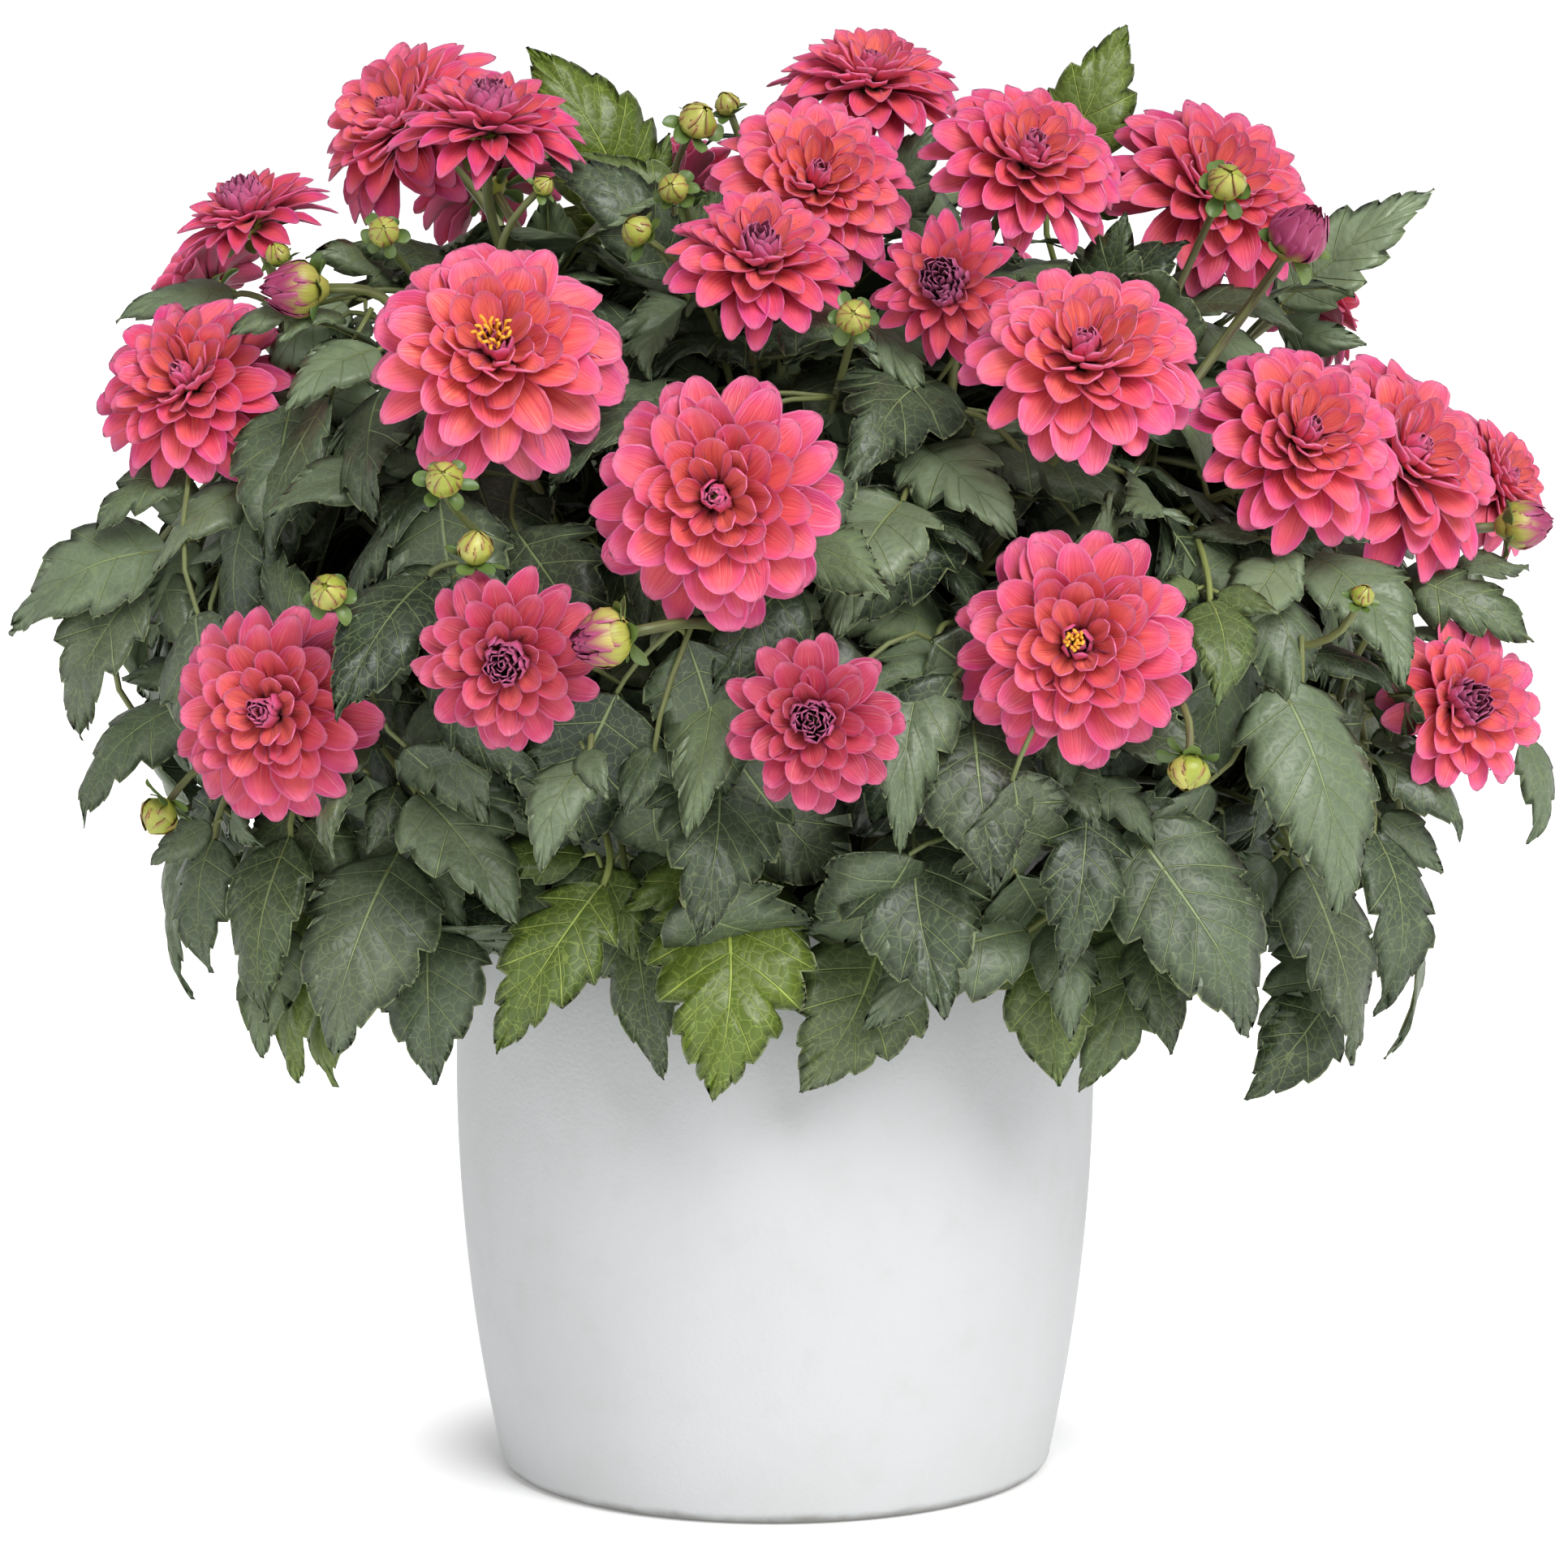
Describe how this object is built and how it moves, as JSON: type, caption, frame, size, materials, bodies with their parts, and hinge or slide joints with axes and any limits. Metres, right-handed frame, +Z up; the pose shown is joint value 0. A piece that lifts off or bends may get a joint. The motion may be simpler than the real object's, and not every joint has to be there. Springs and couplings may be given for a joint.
{
  "type": "potted dahlia",
  "caption": "Bushy garden dahlia with full double blooms, buds and toothed leaves, growing in a round, slightly bellied white pot.",
  "frame": {"origin": "middle of the pot's flat underside", "axes": "+Z up, -Y towards the front that the picture shows, +X to the right of that front"},
  "size_m": [0.7201, 0.5924, 0.677],
  "materials": {
    "pot": "matt",
    "soil": "rough",
    "foliage": "satin",
    "petals": "soft",
    "opening": "soft"
  },
  "bodies": {
    "root": {"pot": "pot", "soil": "soil", "stem_01": "foliage", "stem_02": "foliage", "stem_03": "foliage", "stem_04": "foliage", "stem_05": "foliage", "stem_06": "foliage", "stem_07": "foliage", "stem_08": "foliage", "stem_09": "foliage", "stem_10": "foliage", "stem_11": "foliage", "stem_12": "foliage", "stem_13": "foliage", "stem_14": "foliage", "stem_15": "foliage", "stem_16": "foliage", "bloom_01": "petals", "bloom_02": "petals", "bloom_03": "petals", "bloom_04": "petals", "bloom_05": "petals", "bloom_06": "petals", "bloom_07": "petals", "bloom_08": "petals", "bloom_09": "petals", "bloom_10": "petals", "bloom_11": "petals", "bloom_12": "petals", "bloom_13": "petals", "bloom_14": "petals", "bloom_15": "petals", "bloom_16": "petals", "bloom_17": "petals", "bloom_18": "petals", "bloom_19": "petals", "bloom_20": "petals", "bloom_21": "petals", "bloom_22": "petals", "bloom_23": "petals", "bloom_24": "petals", "bloom_25": "petals", "bloom_26": "petals", "bloom_27": "petals", "bloom_28": "petals", "bloom_29": "petals", "bloom_30": "petals", "bloom_31": "petals", "opening_bud_1": "opening", "opening_bud_2": "opening", "opening_bud_3": "opening", "opening_bud_4": "opening"}
  },
  "joints": []
}
